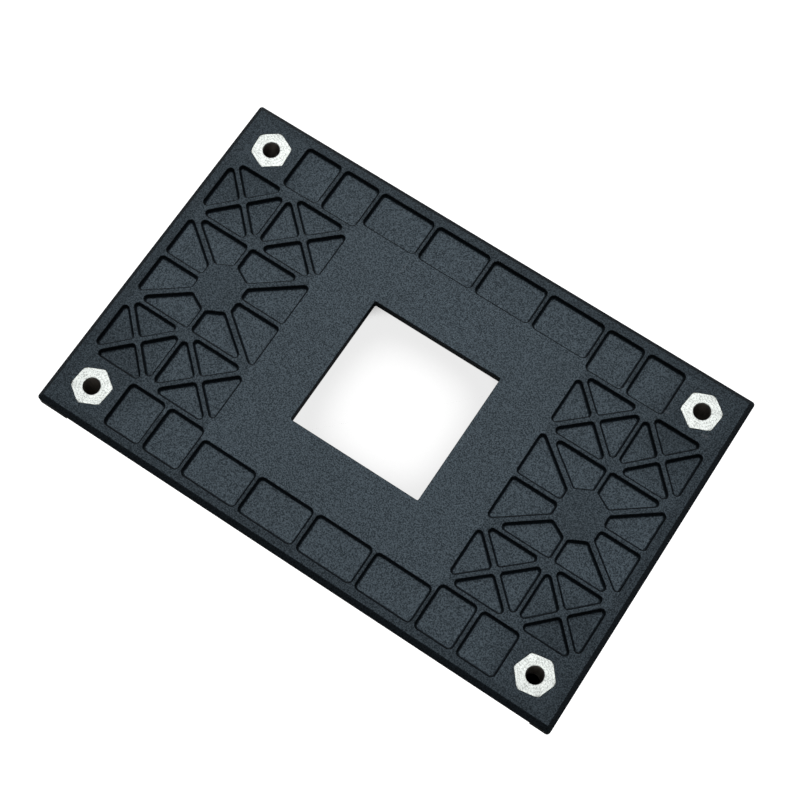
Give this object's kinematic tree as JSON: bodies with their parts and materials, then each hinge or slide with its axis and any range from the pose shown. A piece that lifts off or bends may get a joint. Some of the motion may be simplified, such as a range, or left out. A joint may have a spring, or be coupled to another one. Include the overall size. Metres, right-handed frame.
{
  "type": "processor cooler backplate",
  "caption": "Ribbed moulded backplate with a square window and threaded inserts at its corners, clamped behind a circuit board to anchor a processor cooler.",
  "frame": {"origin": "on the plane of the four post ends, below the centre of the plate and of its square window", "axes": "+X along the plate's long side; +Y along its short side; +Z from the board side out through the ribbed face"},
  "size_m": [0.104, 0.0674, 0.0082],
  "materials": {
    "moulded_plastic": "charcoal glass-filled nylon with a fine spark-eroded grain",
    "plated_steel": "nickel-plated, fine turning marks, satin"
  },
  "bodies": {
    "root": {"backplate": "moulded_plastic", "threaded_insert_front_left": "plated_steel", "threaded_insert_front_right": "plated_steel", "threaded_insert_back_right": "plated_steel", "threaded_insert_back_left": "plated_steel"}
  },
  "joints": []
}
